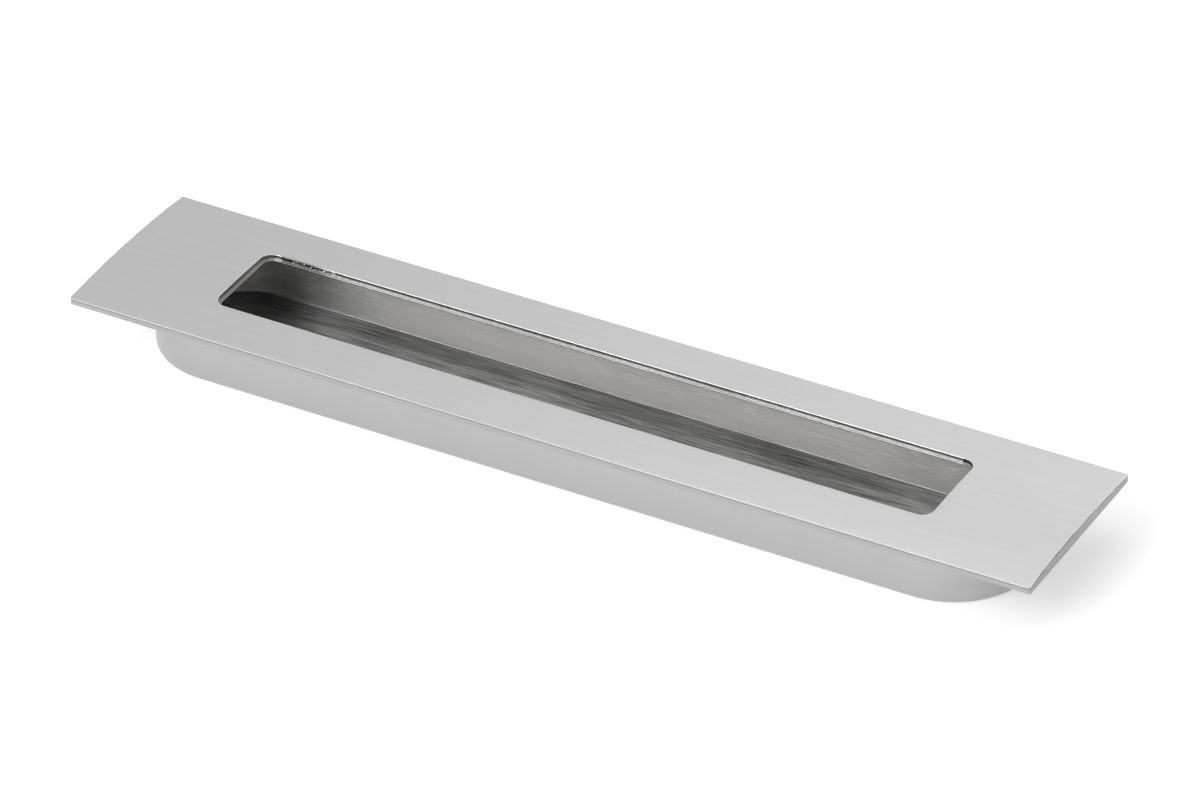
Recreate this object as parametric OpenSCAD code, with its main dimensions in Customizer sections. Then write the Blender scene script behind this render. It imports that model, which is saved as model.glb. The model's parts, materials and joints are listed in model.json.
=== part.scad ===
// Recessed flush pull handle: an arched faceplate over a sunk cup with round ends.
// X runs along the handle, Y across it and Z up out of the panel.
// The origin is the centre of the cup's underside, on which the handle rests.

/* [Faceplate] */
// Length of the faceplate
plate_l = 200; // [190:1:320]
// Width of the faceplate
plate_w = 40; // [37:0.5:60]
// Thickness along the two long edges
plate_edge_t = 1.5; // [1.3:0.1:3]
// Rise of the arched top from the long edges to the middle
crown_h = 0.9; // [0.6:0.1:2.5]
// Radius of the plate's four corners seen from above
plate_corner_r = 0.8; // [0.5:0.1:3]
// Rounding of the upper edges
upper_edge_r = 0.25; // [0.1:0.05:0.4]
// Rounding of the lower edges
lower_edge_r = 0.35; // [0.1:0.05:0.6]

/* [Finger opening] */
// Length of the opening
opening_l = 149.4; // [80:0.1:154]
// Width of the opening
opening_w = 19.5; // [14:0.5:24]
// Radius of the opening's corners
opening_corner_r = 2.5; // [1:0.25:6]
// Width of the thin lip left at the foot of the cut, all round the opening
lip_w = 0.5; // [0.2:0.1:1]
// Thickness of that lip
lip_t = 0.25; // [0.1:0.05:0.5]

/* [Cup] */
// Width of the cup where it meets the plate
cup_w = 33; // [30:0.5:35]
// Depth of the cup below the plate's underside
cup_drop = 11.3; // [8:0.1:25]
// Thickness of the cup's wall
cup_wall = 2; // [1:0.1:2.6]
// Thickness of the cup's floor
floor_t = 1; // [0.8:0.1:3]
// Slope of the wall, narrower towards the floor, in degrees
wall_draft = 1; // [0:0.25:3]
// Rounding under the cup's outer edge
outer_edge_r = 1; // [0.4:0.1:1.6]
// Rounding where the inner wall meets the floor
inner_edge_r = 0.4; // [0.2:0.1:1.2]

/* [Seat of the cup in the plate] */
// Depth of the seat in the plate's underside
seat_depth = 1; // [0.6:0.1:1.4]
// Gap between the cup's rim and the wall of its seat
seat_gap = 0.1; // [0.05:0.01:0.3]

/* [Screw holes] */
// Diameter of the clearance holes in the floor
screw_hole_d = 4.5; // [3.2:0.1:5.5]
// Distance between the two holes
screw_spacing = 128; // [50:1:140]

/* [Trimming marks] */
// Depth of the shallow nicks in the cup's lower front edge
nick_depth = 0.25; // [0.1:0.05:0.4]
// Length of each nick
nick_l = 2.4; // [1:0.1:4]
// Place of the left nick along the handle
left_nick_x = -32.8; // [-60:0.1:-10]
// Place of the right nick along the handle
right_nick_x = 25.8; // [10:0.1:60]

/* [Hidden] */
$fn = 96;
arch_fn = 720;
overrun = 1;

// Heights above the ground
seat_z = cup_drop;
rim_z = cup_drop + seat_depth;
edge_top_z = seat_z + plate_edge_t;
crown_z = edge_top_z + crown_h;

// The arched top is part of a large cylinder whose axis lies along X
arch_r = (pow(plate_w / 2, 2) + pow(crown_h, 2)) / (2 * crown_h);
arch_axis_z = crown_z - arch_r;

// Centres of the small roundings at the plate's long edges
upper_round_y = plate_w / 2 - upper_edge_r;
upper_round_z = arch_axis_z + sqrt(pow(arch_r - upper_edge_r, 2) - pow(upper_round_y, 2));
upper_round_angle = atan2(upper_round_z - arch_axis_z, upper_round_y);

// The cup's round ends are centred on the ends of the opening
cup_r = cup_w / 2;
cavity_rim_r = cup_r - cup_wall / cos(wall_draft);

// Radius of a wall that slopes inwards by the draft, at a height below the plate
function wall_r(radius_at_plate, z) = radius_at_plate - (cup_drop - z) * tan(wall_draft);

// Centre of an edge rounding that touches both a level face at z and the sloping wall
function round_centre(radius_at_plate, z, edge_r) =
    [wall_r(radius_at_plate, z + edge_r) - edge_r / cos(wall_draft), z + edge_r];

// Bowl section in the upright plane: level foot, rounded lower edges, sloping sides, upright rim
module bowl_section(radius_at_plate, foot_z, edge_r, top_z) {
    centre = round_centre(radius_at_plate, foot_z, edge_r);
    touch = centre + edge_r * [cos(wall_draft), -sin(wall_draft)];
    right = [
        [centre.x, foot_z],
        centre,
        touch,
        [radius_at_plate, cup_drop],
        [radius_at_plate, top_z]
    ];
    left = [for (i = [len(right) - 1 : -1 : 0]) [-right[i].x, right[i].y]];
    polygon(concat(right, left));
    for (side = [-1, 1])
        translate([side * centre.x, centre.y])
            circle(r = edge_r);
}

// Sweeps an upright section along the handle and round both half-circle ends
module round_ended_sweep(straight_l, reach) {
    rotate([90, 0, 90])
        linear_extrude(height = straight_l, center = true)
            children();
    for (side = [0, 1])
        mirror([side, 0, 0])
            translate([straight_l / 2, 0, 0])
                rotate([0, 0, -90])
                    rotate_extrude(angle = 180)
                        intersection() {
                            children();
                            translate([0, -reach])
                                square([reach, 2 * reach]);
                        }
}

// Flat rectangle with round corners
module rounded_rectangle(length, width, corner_r) {
    square([length - 2 * corner_r, width], center = true);
    square([length, width - 2 * corner_r], center = true);
    for (x = [-1, 1], y = [-1, 1])
        translate([x * (length / 2 - corner_r), y * (width / 2 - corner_r)])
            circle(r = corner_r);
}

// Cross-section of the plate: flat underside, arched top, softly broken long edges
module plate_section() {
    past_arch = arch_r + overrun;
    past_arch_y = past_arch * cos(upper_round_angle);
    right = [
        [plate_w / 2 - lower_edge_r, seat_z],
        [plate_w / 2 - lower_edge_r, seat_z + lower_edge_r],
        [plate_w / 2, seat_z + lower_edge_r],
        [plate_w / 2, upper_round_z],
        [upper_round_y, upper_round_z],
        [past_arch_y, arch_axis_z + past_arch * sin(upper_round_angle)],
        [past_arch_y, crown_z + overrun]
    ];
    left = [for (i = [len(right) - 1 : -1 : 0]) [-right[i].x, right[i].y]];
    intersection() {
        polygon(concat(right, left));
        translate([0, arch_axis_z])
            circle(r = arch_r, $fn = arch_fn);
    }
    for (side = [-1, 1]) {
        translate([side * upper_round_y, upper_round_z])
            circle(r = upper_edge_r);
        translate([side * (plate_w / 2 - lower_edge_r), seat_z + lower_edge_r])
            circle(r = lower_edge_r);
    }
}

// Sector turned about the arch's axis, whose rounded rim breaks the upper edges at the two ends
module end_rounding_sector() {
    under_r = arch_r - crown_h - plate_edge_t;
    half_angle = atan2(plate_w / 2 + overrun, under_r);
    translate([0, 0, arch_axis_z])
        rotate([0, 90, 0])
            rotate([0, 0, 180 - half_angle])
                rotate_extrude(angle = 2 * half_angle, $fn = arch_fn) {
                    translate([0, -plate_l / 2])
                        square([arch_r - upper_edge_r, plate_l]);
                    translate([0, upper_edge_r - plate_l / 2])
                        square([arch_r, plate_l - 2 * upper_edge_r]);
                    for (side = [-1, 1])
                        translate([arch_r - upper_edge_r, side * (plate_l / 2 - upper_edge_r)])
                            circle(r = upper_edge_r);
                }
}

// Block seen from the side that rounds the lower edges at the plate's two ends
module end_rounding_block() {
    rotate([90, 0, 0])
        linear_extrude(height = plate_w + 2 * overrun, center = true)
            translate([0, seat_z]) {
                translate([-plate_l / 2, lower_edge_r])
                    square([plate_l, plate_edge_t + crown_h]);
                translate([lower_edge_r - plate_l / 2, 0])
                    square([plate_l - 2 * lower_edge_r, plate_edge_t]);
                for (side = [-1, 1])
                    translate([side * (plate_l / 2 - lower_edge_r), lower_edge_r])
                        circle(r = lower_edge_r);
            }
}

// Plan outline of the cup's seat
module seat_outline() {
    seat_r = cup_r + seat_gap;
    square([opening_l, 2 * seat_r], center = true);
    for (side = [-1, 1])
        translate([side * opening_l / 2, 0])
            circle(r = seat_r);
}

// Opening through the plate, one step narrower through the thin lip at its foot
module finger_opening() {
    translate([0, 0, rim_z + lip_t])
        linear_extrude(height = crown_z - rim_z + overrun)
            rounded_rectangle(opening_l, opening_w, opening_corner_r);
    translate([0, 0, seat_z - overrun])
        linear_extrude(height = crown_z - seat_z + 2 * overrun)
            rounded_rectangle(opening_l - 2 * lip_w, opening_w - 2 * lip_w, opening_corner_r - lip_w);
}

module faceplate() {
    color([0.78, 0.78, 0.77])
        difference() {
            intersection() {
                rotate([90, 0, 90])
                    linear_extrude(height = plate_l, center = true)
                        plate_section();
                end_rounding_sector();
                end_rounding_block();
                translate([0, 0, seat_z - overrun])
                    linear_extrude(height = crown_z - seat_z + 2 * overrun)
                        rounded_rectangle(plate_l, plate_w, plate_corner_r);
            }
            finger_opening();
            translate([0, 0, seat_z - overrun])
                linear_extrude(height = seat_depth + overrun)
                    seat_outline();
        }
}

// Shallow nick left in the cup's lower front edge where the casting was trimmed
module trimming_nick(x) {
    foot_r = round_centre(cup_r, 0, outer_edge_r).x;
    translate([x, -foot_r - outer_edge_r, 0])
        rotate([45, 0, 0])
            cube([nick_l, 2 * outer_edge_r, 2 * nick_depth], center = true);
}

module cup() {
    color([0.72, 0.72, 0.71])
        difference() {
            round_ended_sweep(opening_l, cup_w + rim_z)
                bowl_section(cup_r, 0, outer_edge_r, rim_z);
            round_ended_sweep(opening_l, cup_w + rim_z)
                bowl_section(cavity_rim_r, floor_t, inner_edge_r, rim_z + overrun);
            for (side = [-1, 1])
                translate([side * screw_spacing / 2, 0, -overrun])
                    cylinder(d = screw_hole_d, h = floor_t + 2 * overrun);
            for (x = [left_nick_x, right_nick_x])
                trimming_nick(x);
        }
}

faceplate();
cup();
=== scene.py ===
"""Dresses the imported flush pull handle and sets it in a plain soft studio.

Lengths are in metres, in the frame of the solids: X along the handle, Y across it, Z up.
"""
import json
import logging
import math
import random
from dataclasses import dataclass, replace
from enum import Enum

import bmesh
import bpy
from mathutils import Matrix, Vector

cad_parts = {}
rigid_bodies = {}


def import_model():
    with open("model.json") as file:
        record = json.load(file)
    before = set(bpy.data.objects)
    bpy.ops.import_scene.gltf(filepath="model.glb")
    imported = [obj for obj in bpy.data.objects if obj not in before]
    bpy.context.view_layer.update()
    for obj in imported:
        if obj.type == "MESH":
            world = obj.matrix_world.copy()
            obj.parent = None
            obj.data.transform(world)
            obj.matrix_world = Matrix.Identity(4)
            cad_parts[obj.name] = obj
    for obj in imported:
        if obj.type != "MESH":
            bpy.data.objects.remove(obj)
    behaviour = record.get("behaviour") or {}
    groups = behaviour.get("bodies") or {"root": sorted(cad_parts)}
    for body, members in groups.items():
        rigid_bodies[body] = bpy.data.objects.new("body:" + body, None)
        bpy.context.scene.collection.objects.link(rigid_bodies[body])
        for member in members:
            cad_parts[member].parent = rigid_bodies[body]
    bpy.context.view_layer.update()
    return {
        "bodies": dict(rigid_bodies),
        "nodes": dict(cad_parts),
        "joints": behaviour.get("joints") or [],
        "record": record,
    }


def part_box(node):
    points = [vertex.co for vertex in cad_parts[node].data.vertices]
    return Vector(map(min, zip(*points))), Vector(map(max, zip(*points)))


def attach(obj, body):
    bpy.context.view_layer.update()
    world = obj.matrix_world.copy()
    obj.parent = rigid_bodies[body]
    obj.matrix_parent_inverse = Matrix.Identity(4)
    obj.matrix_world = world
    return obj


LOG = logging.getLogger("flush_pull")
BODY = "root"
MM = 0.001

Colour = tuple[float, float, float]
WHITE: Colour = (1.0, 1.0, 1.0)


class Grain(Enum):
    """The way a tool's marks run, with a 1 for each axis that they are drawn out along."""

    LENGTHWISE = (1, 0, 0)
    LEVEL = (1, 1, 0)
    CROSSWISE = (0, 1, 0)
    UPRIGHT = (0, 0, 1)


class Ray(Enum):
    """Kinds of ray that are told apart, by the name of their socket."""

    CAMERA = "Is Camera Ray"
    GLOSSY = "Is Glossy Ray"
    TRANSMISSION = "Is Transmission Ray"


class Wire:
    """One output socket, on which Python's operators add Math nodes."""

    def __init__(self, graph: "Graph", socket: bpy.types.NodeSocket | None) -> None:
        """Holds the socket and the graph it belongs to."""
        self.graph = graph
        self.socket = socket

    def __getitem__(self, name: str) -> "Wire":
        """Another output of the same node."""
        return Wire(self.graph, self.socket.node.outputs[name])

    def __add__(self, other: "Value") -> "Wire":
        """The sum."""
        return self.graph.maths("ADD", self, other)

    def __sub__(self, other: "Value") -> "Wire":
        """The difference."""
        return self.graph.maths("SUBTRACT", self, other)

    def __rsub__(self, other: "Value") -> "Wire":
        """The difference, with the wire taken away."""
        return self.graph.maths("SUBTRACT", other, self)

    def __mul__(self, other: "Value") -> "Wire":
        """The product."""
        return self.graph.maths("MULTIPLY", self, other)

    def __gt__(self, other: "Value") -> "Wire":
        """1 where the wire is above the other value, else 0."""
        return self.graph.maths("GREATER_THAN", self, other)

    def __lt__(self, other: "Value") -> "Wire":
        """1 where the wire is below the other value, else 0."""
        return self.graph.maths("LESS_THAN", self, other)

    __radd__ = __add__
    __rmul__ = __mul__

    def __abs__(self) -> "Wire":
        """The size without its sign."""
        return self.graph.maths("ABSOLUTE", self)

    def root(self) -> "Wire":
        """The square root."""
        return self.graph.maths("SQRT", self)

    def power(self, exponent: float) -> "Wire":
        """The wire raised to a power."""
        return self.graph.maths("POWER", self, exponent)

    def at_least(self, other: "Value") -> "Wire":
        """The larger of the two."""
        return self.graph.maths("MAXIMUM", self, other)

    def between(self, low: float, high: float) -> "Wire":
        """1 where the wire is between two values, else 0."""
        return (self > low) * (self < high)

    def ease(self, start: float, end: float) -> "Wire":
        """A smooth step.

        Args:
            start: The value at which the step is 0.
            end: The value at which it is 1, which may be below start.

        Returns:
            The step, between 0 and 1.
        """
        low, high = sorted((start, end))
        step = self.graph.add(
            "ShaderNodeMapRange",
            {"interpolation_type": "SMOOTHSTEP"},
            {"Value": self, "From Min": low, "From Max": high},
        )
        return step if start < end else 1 - step


Value = Wire | float


class Graph:
    """A node tree that is written as expressions."""

    # The colour sockets of a Mix node, by number, because its other sockets have the same names.
    MIX_MASK = 0
    MIX_UNDER = 6
    MIX_OVER = 7

    NOISE_DETAIL = 2.0

    def __init__(self, tree: bpy.types.NodeTree) -> None:
        """Empties the tree."""
        self.tree = tree
        tree.nodes.clear()

    def add(
        self,
        kind: str,
        settings: dict[str, object] | None = None,
        sockets: dict[str | int, object] | None = None,
    ) -> Wire:
        """Adds a node.

        Args:
            kind: The node's type.
            settings: Its settings by name, which are set first.
            sockets: Values or wires by the name or number of the input socket.

        Returns:
            The node's first output that is in use, or an empty wire where it has none.
        """
        node = self.tree.nodes.new(kind)
        for name, setting in (settings or {}).items():
            setattr(node, name, setting)
        for name, value in (sockets or {}).items():
            socket = node.inputs[name]
            if isinstance(value, Wire):
                self.tree.links.new(value.socket, socket)
            else:
                socket.default_value = value
        outputs = [output for output in node.outputs if output.enabled]
        return Wire(self, outputs[0] if outputs else None)

    def maths(self, operation: str, *values: Value) -> Wire:
        """A Math node on one or more values."""
        return self.add("ShaderNodeMath", {"operation": operation}, dict(enumerate(values)))

    def vector(self, operation: str, *values: Wire | tuple) -> Wire:
        """A Vector Math node on one or more vectors."""
        return self.add("ShaderNodeVectorMath", {"operation": operation}, dict(enumerate(values)))

    def blend(self, mask: Value, under: Wire | tuple, over: Wire | tuple) -> Wire:
        """Mixes two colours by a mask, with over where it is 1."""
        sockets = {self.MIX_MASK: mask, self.MIX_UNDER: under, self.MIX_OVER: over}
        return self.add("ShaderNodeMix", {"data_type": "RGBA"}, sockets)

    def split(self, vector: Wire) -> tuple[Wire, Wire, Wire]:
        """The three parts of a vector."""
        parts = self.add("ShaderNodeSeparateXYZ", sockets={0: vector})
        return parts["X"], parts["Y"], parts["Z"]

    def noise(self, place: Wire, scale: float, roughness: float) -> Wire:
        """Soft noise in space.

        Args:
            place: The point at which it is taken.
            scale: How many swells it has in a unit of length.
            roughness: How much of the finer swells is in it.

        Returns:
            The noise, from 0 to 1.
        """
        return self.add(
            "ShaderNodeTexNoise",
            {"noise_dimensions": "3D"},
            {"Vector": place, "Scale": scale, "Detail": self.NOISE_DETAIL, "Roughness": roughness},
        )

    def rays(self) -> tuple[Wire, Wire]:
        """Tells apart what is looked at and what metal or glass shows.

        Returns:
            1 for a ray of the camera, and 1 for a ray that metal or glass has sent on.
        """
        path = self.add("ShaderNodeLightPath")
        mirrored = path[Ray.GLOSSY.value].at_least(path[Ray.TRANSMISSION.value])
        return path[Ray.CAMERA.value], mirrored


def grey(level: float, warmth: float = 0.0) -> Colour:
    """A near-grey metal colour, slightly warm where warmth is above 0."""
    return (level * (1 + warmth), level, level * (1 - warmth))


def opaque(colour: Colour) -> tuple[float, float, float, float]:
    """The colour as a socket takes it, with nothing see-through."""
    return (*colour, 1.0)


def set_out(name: str, data: bpy.types.ID) -> bpy.types.Object:
    """Makes an object of its data and links it to the scene.

    Args:
        name: The object's name.
        data: Its mesh, lamp or camera.

    Returns:
        The object.
    """
    made = bpy.data.objects.new(name, data)
    bpy.context.scene.collection.objects.link(made)
    return made


@dataclass(frozen=True)
class Layer:
    """What one finish gives the shader: a colour, a roughness and a height."""

    colour: Wire
    roughness: Wire
    height: Wire

    def covered(self, graph: Graph, mask: Wire, over: "Layer") -> "Layer":
        """This layer with another over it.

        Args:
            graph: The graph to write in.
            mask: 1 where the other layer shows.
            over: The other layer.

        Returns:
            The two together.
        """
        return Layer(
            graph.blend(mask, self.colour, over.colour),
            self.roughness + mask * (over.roughness - self.roughness),
            self.height + mask * (over.height - self.height),
        )


@dataclass(frozen=True)
class MetalFinish:
    """How one zone of the metal is worked, with its marks as fine streaks along a grain.

    Attributes:
        light: Colour of the raised streaks.
        dark: Colour of the deep ones.
        roughness: Mean roughness.
        spread: How far the roughness varies.
        grain: Direction of the streaks.
        length: Length of a streak.
        pitch: Distance between two streaks.
        slope: How steep the sides of the streaks are.
        scatter: How steep the hair-fine marks between them are, which spread light across the grain.
    """

    light: Colour
    dark: Colour
    roughness: float
    spread: float
    grain: Grain
    length: float
    pitch: float
    slope: float
    scatter: float

    # How many times closer the fine streaks lie than the coarse ones, and the hair-fine marks.
    FINER = 3.1
    HAIR_LENGTH = 5 * MM
    HAIR_PITCH = 0.1 * MM
    STREAK_ROUGHNESS = 0.6

    # The cloudy polish, in clouds to the metre.
    CLOUD_SCALE = 55.0
    CLOUD_ROUGHNESS = 0.5

    # What each adds to the marks, the sums at which they are darkest and lightest, and their mean.
    COARSE_SHARE = 0.45
    FINE_SHARE = 0.35
    CLOUD_SHARE = 0.2
    DARKEST = 0.3
    LIGHTEST = 0.7
    MEAN_MARK = 0.5

    def streaks(self, graph: Graph, place: Wire, length: float, pitch: float) -> Wire:
        """Noise drawn out along the grain.

        Args:
            graph: The graph to write in.
            place: The point on the object.
            length: Length of a streak.
            pitch: Distance between two streaks.

        Returns:
            The noise, from 0 to 1.
        """
        scale = [(1 / length) if along else (1 / pitch) for along in self.grain.value]
        drawn = graph.vector("MULTIPLY", place, tuple(scale))
        return graph.noise(drawn, 1.0, self.STREAK_ROUGHNESS)

    def layer(self, graph: Graph, place: Wire) -> Layer:
        """Writes the finish: coarse and fine streaks, hair-fine marks and a cloudy polish.

        Args:
            graph: The graph to write in.
            place: The point on the object.

        Returns:
            The finish as a layer.
        """
        coarse = self.streaks(graph, place, self.length, self.pitch)
        fine = self.streaks(graph, place, self.length, self.pitch / self.FINER)
        hair = self.streaks(graph, place, self.HAIR_LENGTH, self.HAIR_PITCH)
        cloud = graph.noise(place, self.CLOUD_SCALE, self.CLOUD_ROUGHNESS)
        together = coarse * self.COARSE_SHARE + fine * self.FINE_SHARE + cloud * self.CLOUD_SHARE
        marks = together.ease(self.DARKEST, self.LIGHTEST)
        relief = (coarse + fine * (1 / self.FINER)) * (self.slope * self.pitch)
        return Layer(
            graph.blend(marks, opaque(self.dark), opaque(self.light)),
            self.roughness + self.spread * (self.MEAN_MARK - marks),
            relief + hair * (self.scatter * self.HAIR_PITCH),
        )


@dataclass(frozen=True)
class EdgeWearAndSheen:
    """A softly rounded and polished look along the edges, which are also painted lighter as a painted
    highlight.

    Attributes:
        radius: How far from an edge the surface turns.
        shine: How much the roughness falls on the edge.
        colour: Lighter colour painted on the edge, partly metal rubbed bright and partly a painted
            highlight.
        share: How much of that colour shows on the edge.
    """

    radius: float
    shine: float
    colour: Colour
    share: float


class Metal:
    """One metal material, laid up from finishes that each cover a zone."""

    BEVEL_SAMPLES = 6

    # How far the rounded normal has turned where the rubbed look and the painted highlight are full, as
    # 1 less the turn's cosine.
    FULL_TURN = 0.12

    # The least roughness.
    SMOOTHEST = 0.08

    def __init__(self, name: str, base: MetalFinish) -> None:
        """Starts the material with the finish that covers all of it.

        Args:
            name: The material's name.
            base: The finish under all others.
        """
        self.material = bpy.data.materials.new(name)
        self.material.use_nodes = True
        self.graph = Graph(self.material.node_tree)
        self.place = self.graph.add("ShaderNodeTexCoord")["Object"]
        self.normal = self.graph.add("ShaderNodeNewGeometry")["Normal"]
        self.x, self.y, self.z = self.graph.split(self.place)
        self.facing_x, _, self.facing_z = self.graph.split(self.normal)
        self.surface = base.layer(self.graph, self.place)

    def cover(self, mask: Wire, finish: MetalFinish) -> None:
        """Lays a finish over a zone, which the mask gives."""
        over = finish.layer(self.graph, self.place)
        self.surface = self.surface.covered(self.graph, mask, over)

    def finish(self, wear_and_sheen: EdgeWearAndSheen) -> bpy.types.Material:
        """Joins the layers to the shader.

        Args:
            wear_and_sheen: The look of the edges.

        Returns:
            The finished material.
        """
        graph = self.graph
        surface = self.surface
        rounded = graph.add("ShaderNodeBevel", {"samples": self.BEVEL_SAMPLES}, {"Radius": wear_and_sheen.radius})
        cosine = graph.vector("DOT_PRODUCT", self.normal, rounded)["Value"]
        edge = (1 - cosine).ease(0.0, self.FULL_TURN)
        bump = graph.add(
            "ShaderNodeBump",
            sockets={"Strength": 1.0, "Distance": 1.0, "Height": surface.height, "Normal": rounded},
        )
        # The edges' lighter colour is partly rubbed metal and partly a painted highlight.
        shader = graph.add(
            "ShaderNodeBsdfPrincipled",
            sockets={
                "Metallic": 1.0,
                "Base Color": graph.blend(edge * wear_and_sheen.share, surface.colour, opaque(wear_and_sheen.colour)),
                "Roughness": (surface.roughness - edge * wear_and_sheen.shine).at_least(self.SMOOTHEST),
                "Normal": bump,
            },
        )
        graph.add("ShaderNodeOutputMaterial", sockets={"Surface": shader})
        return self.material


@dataclass
class Faceplate:
    """The arched plate with the finger opening.

    Attributes:
        node: The solid's node.
        half_length: Half the plate's length.
        half_width: Half its width.
        opening_half_length: Half the length of the opening, above its lip.
        opening_half_width: Half its width there.
        lip_top: Height of the thin lip at the foot of the opening.
        edge_top: Height of the top along the two long edges.
        top: Height of the plate's crown.
    """

    node: bpy.types.Object
    half_length: float
    half_width: float
    opening_half_length: float
    opening_half_width: float
    lip_top: float
    edge_top: float
    top: float

    FACE = MetalFinish(
        light=grey(0.595),
        dark=grey(0.560),
        roughness=0.32,
        spread=0.04,
        grain=Grain.LENGTHWISE,
        length=24 * MM,
        pitch=0.5 * MM,
        slope=0.02,
        scatter=0.10,
    )
    # The broken edge along the long sides and a strip under it are painted darker: painted shade that
    # dims the highlight on the rounding and draws a dark line under it.
    EDGE_TOP_SHADE = replace(FACE, light=grey(0.365), dark=grey(0.335), roughness=0.42, pitch=0.4 * MM)
    EDGE_SIDE_SHADE = replace(EDGE_TOP_SHADE, light=grey(0.31), dark=grey(0.27), roughness=0.40)
    FLANGE = MetalFinish(
        light=grey(0.46),
        dark=grey(0.42),
        roughness=0.36,
        spread=0.05,
        grain=Grain.LENGTHWISE,
        length=30 * MM,
        pitch=0.35 * MM,
        slope=0.03,
        scatter=0.10,
    )
    SAWN_END = MetalFinish(
        light=grey(0.44),
        dark=grey(0.31),
        roughness=0.40,
        spread=0.08,
        grain=Grain.CROSSWISE,
        length=14 * MM,
        pitch=0.20 * MM,
        slope=0.10,
        scatter=0.10,
    )
    CUT = MetalFinish(
        light=grey(0.68),
        dark=grey(0.28),
        roughness=0.24,
        spread=0.08,
        grain=Grain.UPRIGHT,
        length=2.5 * MM,
        pitch=0.30 * MM,
        slope=0.15,
        scatter=0.10,
    )
    LIP = MetalFinish(
        light=grey(0.29),
        dark=grey(0.18),
        roughness=0.45,
        spread=0.10,
        grain=Grain.UPRIGHT,
        length=2.5 * MM,
        pitch=0.60 * MM,
        slope=0.10,
        scatter=0.10,
    )
    # Near black: painted shade on the cut edge at the dark ends of the opening.
    PAINTED_SHADE = MetalFinish(
        light=grey(0.10),
        dark=grey(0.03),
        roughness=0.55,
        spread=0.10,
        grain=Grain.UPRIGHT,
        length=0.8 * MM,
        pitch=0.35 * MM,
        slope=0.50,
        scatter=0.30,
    )
    # The edges are partly rubbed bright and partly painted lighter as a painted highlight.
    WEAR_AND_SHEEN = EdgeWearAndSheen(radius=0.25 * MM, shine=0.06, colour=grey(0.80), share=0.5)

    # How near the outline a face counts as a side or an end of the plate, and as its broken edge.
    RIM_BAND = 1 * MM
    EDGE_BAND = 0.4 * MM

    # The radius of the broken edge along the top of the long sides.
    EDGE_RADIUS = 0.25 * MM

    # The strip along the long sides that is painted darker as shade, measured down from the top of that
    # edge.
    STRIP_START = 0.14 * MM
    STRIP_END = 0.52 * MM

    # How far past the opening its cut edge is sought, and how far above its lip the lip's face is.
    OPENING_MARGIN = 0.2 * MM
    LIP_MARGIN = 0.05 * MM

    # The share of the opening's half width from which its edge counts as the back one.
    BACK_SHARE = 0.8

    # The stretch of the back edge painted near black as shade, measured from the opening's left end,
    # with the length over which it fades out. The back corner painted near black as shade is measured
    # from the right end.
    PAINTED_SHADE_START = 3.2 * MM
    PAINTED_SHADE_END = 14.7 * MM
    PAINTED_SHADE_FADE = 5 * MM
    PAINTED_SHADE_CORNER = 2.9 * MM

    # Parts of the normal along Z or X, by which sides, ends and the broken edge are told apart.
    SIDE_FACING = 0.5
    END_FACING = 0.7
    BROKEN_LEAST = 0.2
    BROKEN_MOST = 0.97

    # Points of the opening lie within this share of the half width, and above the cup's seat.
    OPENING_SHARE = 0.6
    SEAT_MARGIN = 0.05 * MM
    TOLERANCE = 0.01 * MM

    @classmethod
    def from_frame(cls, frame: dict) -> "Faceplate":
        """Measures the plate in the frame.


        Returns:
            The plate with its sizes.
        """
        node = frame["nodes"]["faceplate"]
        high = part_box("faceplate")[1]
        seat_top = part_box("cup")[1].z
        points = [vertex.co for vertex in node.data.vertices]
        inner = [point for point in points if abs(point.y) < cls.OPENING_SHARE * high.y]
        above_seat = [point for point in inner if point.z > seat_top + cls.SEAT_MARGIN]
        lip_top = min(point.z for point in above_seat)
        long_sides = [point for point in points if abs(point.y) > high.y - cls.TOLERANCE]
        # The outermost points at the lip's height are the foot of the cut edge.
        foot = [point for point in above_seat if point.z < lip_top + cls.TOLERANCE]
        return cls(
            node=node,
            half_length=high.x,
            half_width=high.y,
            opening_half_length=max(abs(point.x) for point in foot),
            opening_half_width=max(abs(point.y) for point in foot),
            lip_top=lip_top,
            edge_top=max(point.z for point in long_sides) + cls.EDGE_RADIUS,
            top=high.z,
        )

    def dress(self) -> None:
        """Gives the plate its material, zone by zone."""
        metal = Metal("brushed_plate_metal", self.FACE)
        side = abs(metal.facing_z) < self.SIDE_FACING
        self._dress_outline(metal, side)
        self._dress_opening(metal, side)
        self.node.material_slots[0].material = metal.finish(self.WEAR_AND_SHEEN)

    def _dress_outline(self, metal: Metal, side: Wire) -> None:
        """Dresses the long sides with their broken edge and the strip under it, both painted darker as
        shade, and the sawn ends.

        Args:
            metal: The plate's metal.
            side: 1 on upright faces.
        """
        metal.cover(side * (abs(metal.y) > self.half_width - self.RIM_BAND), self.FLANGE)
        outer = abs(metal.y) > self.half_width - self.EDGE_BAND
        broken = metal.facing_z.between(self.BROKEN_LEAST, self.BROKEN_MOST)
        # Painted shade on the broken edge and on the strip under it.
        metal.cover(outer * broken * (metal.z > self.edge_top - self.EDGE_BAND), self.EDGE_TOP_SHADE)
        strip = metal.z.between(self.edge_top - self.STRIP_END, self.edge_top - self.STRIP_START)
        metal.cover(outer * strip, self.EDGE_SIDE_SHADE)
        end = (abs(metal.x) > self.half_length - self.RIM_BAND) * (abs(metal.facing_x) > self.END_FACING)
        metal.cover(end, self.SAWN_END)

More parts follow.
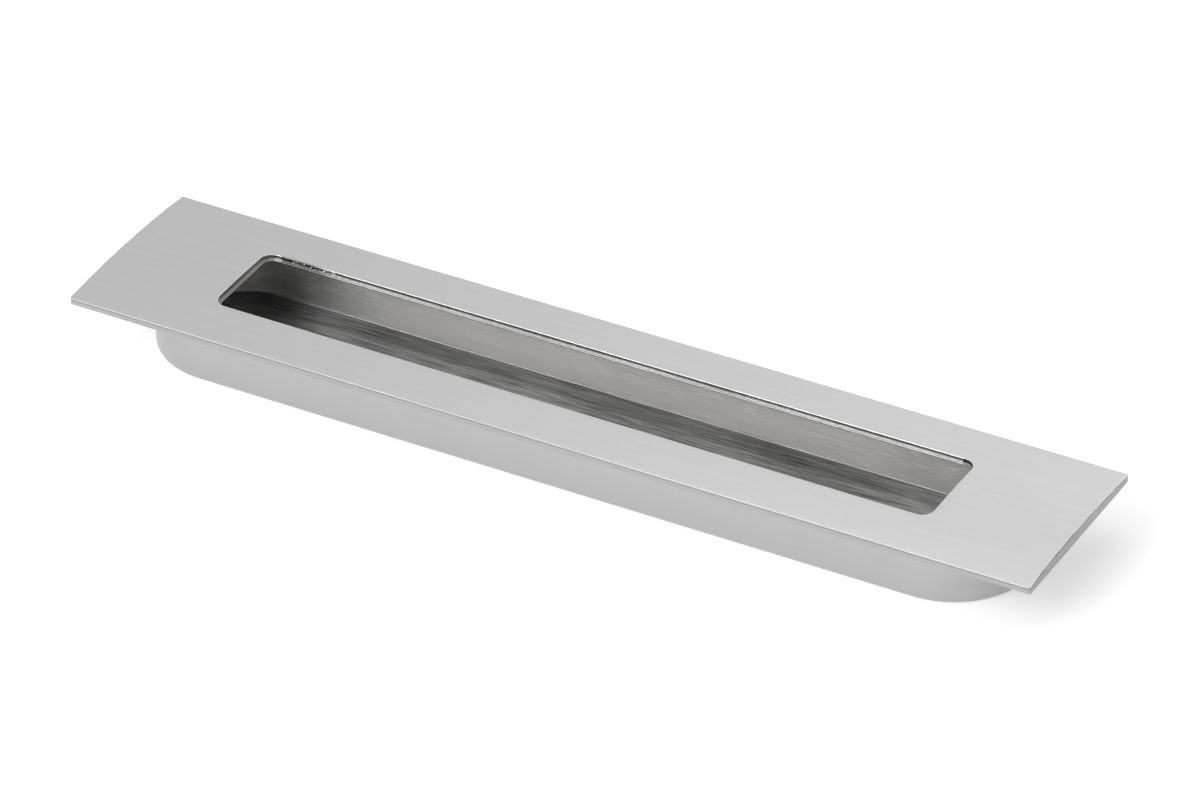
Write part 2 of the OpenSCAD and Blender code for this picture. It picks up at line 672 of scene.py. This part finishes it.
    def _dress_opening(self, metal: Metal, side: Wire) -> None:
        """Dresses the cut edge of the opening, its lip and the parts at the back that are painted near
        black as shade.

        Args:
            metal: The plate's metal.
            side: 1 on upright faces.
        """
        within_length = abs(metal.x) < self.opening_half_length + self.OPENING_MARGIN
        within_width = abs(metal.y) < self.opening_half_width + self.OPENING_MARGIN
        inside = within_length * within_width
        metal.cover(inside * side, self.CUT)
        metal.cover(inside * (metal.z < self.lip_top + self.LIP_MARGIN), self.LIP)
        # The back edge near the left end and the back corner at the right end get painted shade, near
        # black.
        back = inside * (metal.y > self.BACK_SHARE * self.opening_half_width)
        start = self.PAINTED_SHADE_START - self.opening_half_length
        end = self.PAINTED_SHADE_END - self.opening_half_length
        stretch = metal.x.ease(end, end - self.PAINTED_SHADE_FADE) * (metal.x > start)
        metal.cover(back * stretch, self.PAINTED_SHADE)
        corner = metal.x > self.opening_half_length - self.PAINTED_SHADE_CORNER
        metal.cover(back * side * corner, self.PAINTED_SHADE)


@dataclass
class Cup:
    """The round-ended cup behind the plate.

    Attributes:
        node: The solid's node.
        half_length: Half the cup's length.
        half_width: Half its width, which is also the radius of its round ends.
        top: Height of its rim.
    """

    node: bpy.types.Object
    half_length: float
    half_width: float
    top: float

    OUTSIDE = MetalFinish(
        light=grey(0.495),
        dark=grey(0.475),
        roughness=0.30,
        spread=0.03,
        grain=Grain.LEVEL,
        length=18 * MM,
        pitch=1.4 * MM,
        slope=0.02,
        scatter=0.06,
    )
    # The walls inside are painted nearly twice as light as the outside of the same metal: painted light
    # in the pocket.
    INSIDE_PAINTED_LIGHT = MetalFinish(
        light=grey(0.985, 0.01),
        dark=grey(0.87, 0.01),
        roughness=0.54,
        spread=0.12,
        grain=Grain.LEVEL,
        length=22 * MM,
        pitch=1.3 * MM,
        slope=0.03,
        scatter=0.60,
    )
    # The ends keep the walls' painted light and are smoother.
    ENDS = replace(INSIDE_PAINTED_LIGHT, roughness=0.34, spread=0.04)
    # The round corner between wall and floor is painted dark: painted shade in the crease.
    CORNER_SHADE = MetalFinish(
        light=grey(0.30),
        dark=grey(0.25),
        roughness=0.52,
        spread=0.05,
        grain=Grain.LEVEL,
        length=20 * MM,
        pitch=0.5 * MM,
        slope=0.10,
        scatter=0.20,
    )
    FLOOR = MetalFinish(
        light=grey(0.37),
        dark=grey(0.04),
        roughness=0.42,
        spread=0.10,
        grain=Grain.LENGTHWISE,
        length=8 * MM,
        pitch=0.30 * MM,
        slope=0.12,
        scatter=0.55,
    )
    # The floor is painted darker along the wall: painted shade under the plate's overhang.
    FLOOR_SHADE = replace(FLOOR, light=grey(0.20), dark=grey(0.03), roughness=0.46, scatter=0.50)
    UNDERSIDE = MetalFinish(
        light=grey(0.56),
        dark=grey(0.48),
        roughness=0.46,
        spread=0.08,
        grain=Grain.LENGTHWISE,
        length=9 * MM,
        pitch=1.2 * MM,
        slope=0.05,
        scatter=0.10,
    )
    # The edges are partly rubbed bright and partly painted lighter as a painted highlight.
    WEAR_AND_SHEEN = EdgeWearAndSheen(radius=0.2 * MM, shine=0.04, colour=grey(0.74), share=0.3)

    # The share of the half width within which a face is on the inside. It ends within the wall.
    WALL_SHARE = 0.93

    # Heights below which the underside lies, and the floor with the round corner at its border.
    UNDERSIDE_BAND = 0.3 * MM
    FLOOR_BAND = 2.0 * MM

    # Where the wall begins to be smoother and is fully so, measured back from the round ends.
    ENDS_START = 24.7 * MM
    ENDS_FULL = 8.7 * MM

    # Where the floor's painted shade along the wall begins and is full, measured in from the cup's
    # outline.
    FLOOR_SHADE_START = 8 * MM
    FLOOR_SHADE_FULL = 6 * MM

    # Parts of the normal along Z, by which the underside, the round corner and the floor are told.
    UNDERSIDE_FACING = -0.7
    CORNER_FACING = 0.15
    FLOOR_FACING = 0.9

    @classmethod
    def from_frame(cls, frame: dict) -> "Cup":
        """Measures the cup in the frame."""
        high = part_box("cup")[1]
        return cls(node=frame["nodes"]["cup"], half_length=high.x, half_width=high.y, top=high.z)

    def dress(self) -> None:
        """Gives the cup its material: satin outside, smooth walls painted lighter than the outside as
        painted light, and a brushed floor inside with painted shade in its round corner and along its
        border.
        """
        metal = Metal("satin_cup_metal", self.OUTSIDE)
        straight = self.half_length - self.half_width
        past_straight = (abs(metal.x) - straight).at_least(0.0)
        reach = (past_straight * past_straight + metal.y * metal.y).root()
        inside = (reach < self.half_width * self.WALL_SHARE) * (metal.z > self.UNDERSIDE_BAND)
        # Painted light on the walls inside.
        metal.cover(inside, self.INSIDE_PAINTED_LIGHT)
        near_end = abs(metal.x).ease(straight - self.ENDS_START, straight - self.ENDS_FULL)
        metal.cover(inside * near_end, self.ENDS)
        low = inside * (metal.z < self.FLOOR_BAND)
        # Painted shade in the round corner.
        metal.cover(low * (metal.facing_z > self.CORNER_FACING), self.CORNER_SHADE)
        floor = low * (metal.facing_z > self.FLOOR_FACING)
        metal.cover(floor, self.FLOOR)
        near_wall = reach.ease(self.half_width - self.FLOOR_SHADE_START, self.half_width - self.FLOOR_SHADE_FULL)
        # Painted shade on the floor along the wall.
        metal.cover(floor * near_wall, self.FLOOR_SHADE)
        underside = (metal.facing_z < self.UNDERSIDE_FACING) * (metal.z < self.UNDERSIDE_BAND)
        metal.cover(underside, self.UNDERSIDE)
        self.node.material_slots[0].material = metal.finish(self.WEAR_AND_SHEEN)


@dataclass
class Burrs:
    """Flecks of burr on the cut edge, near the back left corner of the opening, painted near white as
    painted glints.

    Attributes:
        plate: The plate whose cut edge they stand on.
        start: Distance from the opening's left end to where they begin.
        end: Distance from the same end to where they stop.
        count: How many there are.
    """

    plate: Faceplate
    start: float = 5.2 * MM
    end: float = 15.2 * MM
    count: int = 45

    # Near white: real burrs with painted glints on them.
    BURR_AND_GLINT_FINISH = MetalFinish(
        light=grey(0.97),
        dark=grey(0.90),
        roughness=0.6,
        spread=0.1,
        grain=Grain.UPRIGHT,
        length=0.4 * MM,
        pitch=0.2 * MM,
        slope=0.1,
        scatter=0.1,
    )
    SEED = 7
    SMALLEST = 0.05 * MM
    LARGEST = 0.14 * MM
    REACH_UP = 0.7 * MM

    # Shares of a fleck's radius: how far it stands out, how long it is and how uneven.
    STAND_OUT = 0.3
    STRETCH = 1.5
    UNEVENNESS = 0.35

    def build(self) -> bpy.types.Object:
        """Scatters the flecks from the lip upwards.

        Returns:
            The piece, which rides on the handle.
        """
        chance = random.Random(self.SEED)
        mesh = bmesh.new()
        for _ in range(self.count):
            self._add_fleck(mesh, chance)
        data = bpy.data.meshes.new("lip_burrs")
        mesh.to_mesh(data)
        mesh.free()
        piece = set_out("lip_burrs", data)
        metal = Metal("lip_burrs_metal", self.BURR_AND_GLINT_FINISH)
        data.materials.append(metal.finish(Faceplate.WEAR_AND_SHEEN))
        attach(piece, BODY)
        return piece

    def _add_fleck(self, mesh: bmesh.types.BMesh, chance: random.Random) -> None:
        """Adds one small angular fleck.

        Args:
            mesh: The mesh of all the flecks.
            chance: The seeded source of its size, place and shape.
        """
        left_end = -self.plate.opening_half_length
        size = chance.uniform(self.SMALLEST, self.LARGEST)
        spot = Vector(
            (
                chance.uniform(left_end + self.start, left_end + self.end),
                self.plate.opening_half_width - self.STAND_OUT * size,
                self.plate.lip_top + chance.uniform(0.0, self.REACH_UP),
            )
        )
        points = bmesh.ops.create_icosphere(mesh, subdivisions=1, radius=size)["verts"]
        turn = Matrix.Rotation(chance.uniform(0, math.tau), 3, "Z")
        for point in points:
            uneven = 1 + chance.uniform(-self.UNEVENNESS, self.UNEVENNESS)
            stretched = Vector((point.co.x * self.STRETCH, point.co.y, point.co.z))
            point.co = spot + turn @ stretched * uneven


@dataclass
class SoftLamp:
    """One large soft lamp.

    Attributes:
        name: The lamp's name.
        place: Where it stands.
        side: Length of each of its sides.
        power: Its power in watts.
    """

    name: str
    place: Vector
    side: float
    power: float

    def build(self, aim: Vector) -> None:
        """Hangs the lamp.

        Args:
            aim: The point that it faces.
        """
        data = bpy.data.lights.new(self.name, "AREA")
        data.shape = "SQUARE"
        data.size = self.side
        data.energy = self.power
        lamp = set_out(self.name, data)
        lamp.location = self.place
        lamp.rotation_euler = (aim - self.place).to_track_quat("-Z", "Y").to_euler()


@dataclass(frozen=True)
class SkyGlow:
    """One broad soft glow of the tent, brightest in one direction.

    Attributes:
        direction: Where the glow is, seen from the handle.
        strength: Its brightness at the middle.
        focus: How fast it fades away from the middle.
    """

    direction: Vector
    strength: float
    focus: float

    def level(self, graph: Graph, direction: Wire) -> Wire:
        """Writes its brightness.

        Args:
            graph: The graph to write in.
            direction: The direction that is looked in.

        Returns:
            The brightness in that direction.
        """
        middle = tuple(self.direction.normalized())
        nearness = graph.vector("DOT_PRODUCT", direction, middle)["Value"].at_least(0.0)
        return nearness.power(self.focus) * self.strength


@dataclass
class Studio:
    """A pale floor under a soft tent that glows at the back, the left and the front left.

    Attributes:
        floor_half: Half the side of the floor.
        floor_colour: How pale the paper of the floor is.
        floor_white: Level by which the paper is lifted to white where it is looked at.
        floor_shine: The same lift, where the metal shows the paper.
        tent_base: Brightness of the tent between its glows.
        tent_shine: Level by which the tent is lifted where the metal shows it.
        glows: The glows of the tent.
        lamps: The lamps near the handle.
    """

    floor_half: float = 6.0
    floor_colour: float = 0.70
    floor_white: float = 0.45
    floor_shine: float = 0.39
    tent_base: float = 0.25
    tent_shine: float = 0.30
    glows: tuple[SkyGlow, ...] = (
        SkyGlow(direction=Vector((0.0, 1.0, 0.55)), strength=1.82, focus=20.0),
        SkyGlow(direction=Vector((-1.0, 0.0, 0.5)), strength=1.2, focus=6.0),
        SkyGlow(direction=Vector((-0.41, -0.72, 0.56)), strength=6.4, focus=16.0),
    )
    lamps: tuple[SoftLamp, ...] = (
        SoftLamp(name="overhead_softbox", place=Vector((0.0, 0.10, 0.60)), side=0.5, power=1.0),
        SoftLamp(name="front_softbox", place=Vector((0.0, -0.40, 0.45)), side=0.3, power=0.20),
        SoftLamp(name="back_softbox", place=Vector((-0.04, 0.36, 0.38)), side=0.45, power=0.052),
    )

    # How far the floor lies below the handle's underside.
    FLOOR_GAP = 0.02 * MM

    def build(self, aim: Vector) -> None:
        """Builds the floor, the tent and the lamps.

        Args:
            aim: The point that the lamps face.
        """
        self._floor()
        self._tent()
        for lamp in self.lamps:
            lamp.build(aim)

    def _floor(self) -> None:
        """Lays the pale floor just under the handle."""
        half = self.floor_half
        signs = ((-1, -1), (1, -1), (1, 1), (-1, 1))
        corners = [(x * half, y * half, -self.FLOOR_GAP) for x, y in signs]
        data = bpy.data.meshes.new("floor")
        data.from_pydata(corners, [], [(0, 1, 2, 3)])
        floor = set_out("floor", data)
        material = bpy.data.materials.new("pale_floor")
        material.use_nodes = True
        graph = Graph(material.node_tree)
        paper = graph.add("ShaderNodeBsdfDiffuse", sockets={"Color": opaque(grey(self.floor_colour))})
        looked_at, mirrored = graph.rays()
        lift = looked_at * self.floor_white + mirrored * self.floor_shine
        glow = graph.add("ShaderNodeEmission", sockets={"Strength": lift})
        both = graph.add("ShaderNodeAddShader", sockets={0: paper, 1: glow})
        graph.add("ShaderNodeOutputMaterial", sockets={"Surface": both})
        data.materials.append(material)

    def _tent(self) -> None:
        """Makes the world: plain white to the eye, and a tent with soft glows to the handle."""
        world = bpy.data.worlds.new("tent")
        bpy.context.scene.world = world
        world.use_nodes = True
        graph = Graph(world.node_tree)
        direction = graph.add("ShaderNodeTexCoord")["Generated"]
        tent = sum((glow.level(graph, direction) for glow in self.glows), self.tent_base)
        looked_at, mirrored = graph.rays()
        strength = tent + looked_at * (1 - tent) + mirrored * self.tent_shine
        sky = graph.add("ShaderNodeBackground", sockets={"Color": opaque(WHITE), "Strength": strength})
        graph.add("ShaderNodeOutputWorld", sockets={"Surface": sky})


@dataclass
class PhotoCamera:
    """The camera at the photograph's place.

    Attributes:
        place: Where it stands.
        aim: The point at the middle of its picture.
        roll: Turn about its own line of sight, in degrees.
        lens: Focal length in millimetres, for the width of its sensor.
    """

    place: Vector = Vector((0.5568, -0.9707, 0.7654))
    aim: Vector = Vector((0.00324, -0.00160, 0.01130))
    roll: float = -1.0846
    lens: float = 221.03

    # The sensor's width in millimetres, and the nearest and farthest things that the camera sees.
    SENSOR_WIDTH = 36.0
    NEAREST = 0.05
    FARTHEST = 50.0

    def build(self) -> None:
        """Sets the camera up and makes it the scene's own."""
        data = bpy.data.cameras.new("photo_camera")
        data.sensor_width = self.SENSOR_WIDTH
        data.sensor_fit = "HORIZONTAL"
        data.lens = self.lens
        data.clip_start = self.NEAREST
        data.clip_end = self.FARTHEST
        camera = set_out("photo_camera", data)
        facing = (self.aim - self.place).to_track_quat("-Z", "Y").to_matrix().to_4x4()
        roll = Matrix.Rotation(math.radians(self.roll), 4, "Z")
        camera.matrix_world = Matrix.Translation(self.place) @ facing @ roll
        bpy.context.scene.camera = camera


def main() -> None:
    """Loads the frame, dresses the handle and sets up the studio and the camera."""
    logging.basicConfig(level=logging.INFO, format="%(name)s: %(message)s")
    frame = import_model()
    bpy.context.scene.view_settings.view_transform = "Standard"

    plate = Faceplate.from_frame(frame)
    plate.dress()
    LOG.info(
        "faceplate: %.1f x %.1f mm, crown at %.1f mm",
        2 * plate.half_length / MM,
        2 * plate.half_width / MM,
        plate.top / MM,
    )
    LOG.info(
        "opening: %.1f x %.1f mm, lip at %.2f mm",
        2 * plate.opening_half_length / MM,
        2 * plate.opening_half_width / MM,
        plate.lip_top / MM,
    )
    cup = Cup.from_frame(frame)
    cup.dress()
    LOG.info(
        "cup: %.1f x %.1f x %.1f mm",
        2 * cup.half_length / MM,
        2 * cup.half_width / MM,
        cup.top / MM,
    )
    burrs = Burrs(plate).build()
    LOG.info("lip burrs: %d faces", len(burrs.data.polygons))
    camera = PhotoCamera()
    camera.build()
    LOG.info("camera: %.2f m from its aim", (camera.place - camera.aim).length)
    Studio().build(camera.aim)
    LOG.info("studio: floor, tent and lamps")


if __name__ == "__main__":
    main()
